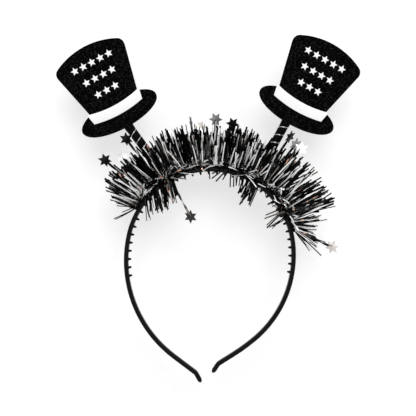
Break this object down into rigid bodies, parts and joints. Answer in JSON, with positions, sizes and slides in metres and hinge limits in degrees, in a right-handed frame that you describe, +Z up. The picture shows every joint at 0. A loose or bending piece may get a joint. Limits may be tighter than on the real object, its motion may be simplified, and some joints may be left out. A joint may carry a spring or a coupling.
{
  "type": "party headband",
  "caption": "Toothed plastic headband with flat mini top hats on sprung, ribbon-wound stems and a black and silver tinsel garland with star charms.",
  "frame": {"origin": "centre of the circle that the crown of the band follows, where the top of the wearer's head is", "axes": "+Z up as worn, +X to the wearer's left (right in the front view), the front faces -Y"},
  "size_m": [0.1971, 0.0485, 0.2255],
  "materials": {
    "band_plastic": "moulded, semi-gloss",
    "tinsel_foil": "metallised film, black with silver glints",
    "charm_black": "metallised film",
    "charm_grey": "metallised film",
    "charm_silver": "metallised film",
    "spring_wire": "bright wire",
    "stem_ribbon": "woven satin",
    "plug_plastic": "moulded",
    "hat_card": "grey board",
    "hat_felt": "felt with a fine fleck",
    "hat_trim": "white felt, die cut"
  },
  "bodies": {
    "headband": {"headband": "band_plastic", "tinsel_1": "tinsel_foil", "tinsel_2": "tinsel_foil", "tinsel_3": "tinsel_foil", "tinsel_4": "tinsel_foil", "tinsel_5": "tinsel_foil", "tinsel_6": "tinsel_foil", "tinsel_7": "tinsel_foil", "tinsel_8": "tinsel_foil", "tinsel_9": "tinsel_foil", "charm_1": "charm_black", "charm_2": "charm_black", "charm_3": "charm_grey", "charm_4": "charm_black", "charm_5": "charm_grey", "charm_6": "charm_black", "charm_7": "charm_black", "charm_8": "charm_grey", "charm_9": "charm_silver", "charm_10": "charm_silver", "charm_11": "charm_silver", "charm_12": "charm_silver"},
    "left_stem": {"left_spring": "spring_wire", "left_ribbon": "stem_ribbon"},
    "left_hat": {"left_plug": "plug_plastic", "left_card": "hat_card", "left_front": "hat_felt", "left_back": "hat_felt", "left_band": "hat_trim", "left_stars": "hat_trim"},
    "right_stem": {"right_spring": "spring_wire", "right_ribbon": "stem_ribbon"},
    "right_hat": {"right_plug": "plug_plastic", "right_card": "hat_card", "right_front": "hat_felt", "right_back": "hat_felt", "right_band": "hat_trim", "right_stars": "hat_trim"}
  },
  "joints": [
    {"name": "left_sway", "type": "hinge", "parent": "headband", "child": "left_stem", "pos_m": [-0.03473, 0, 0.05722], "axis": [0, 1, 0], "range_deg": [-25, 25], "stiffness_Nm_per_rad": 0.06, "springref_deg": 1.43, "deforming": ["left_spring", "left_ribbon"]},
    {"name": "left_nod", "type": "hinge", "parent": "left_stem", "child": "left_hat", "pos_m": [-0.03473, 0, 0.05722], "axis": [0.8039, 0, 0.5948], "range_deg": [-25, 25], "stiffness_Nm_per_rad": 0.06, "deforming": ["left_spring", "left_ribbon"]},
    {"name": "right_sway", "type": "hinge", "parent": "headband", "child": "right_stem", "pos_m": [0.03442, 0, 0.05747], "axis": [0, 1, 0], "range_deg": [-25, 25], "stiffness_Nm_per_rad": 0.06, "springref_deg": -1.32, "deforming": ["right_spring", "right_ribbon"]},
    {"name": "right_nod", "type": "hinge", "parent": "right_stem", "child": "right_hat", "pos_m": [0.03442, 0, 0.05747], "axis": [0.8788, 0, -0.4772], "range_deg": [-25, 25], "stiffness_Nm_per_rad": 0.06, "deforming": ["right_spring", "right_ribbon"]}
  ]
}
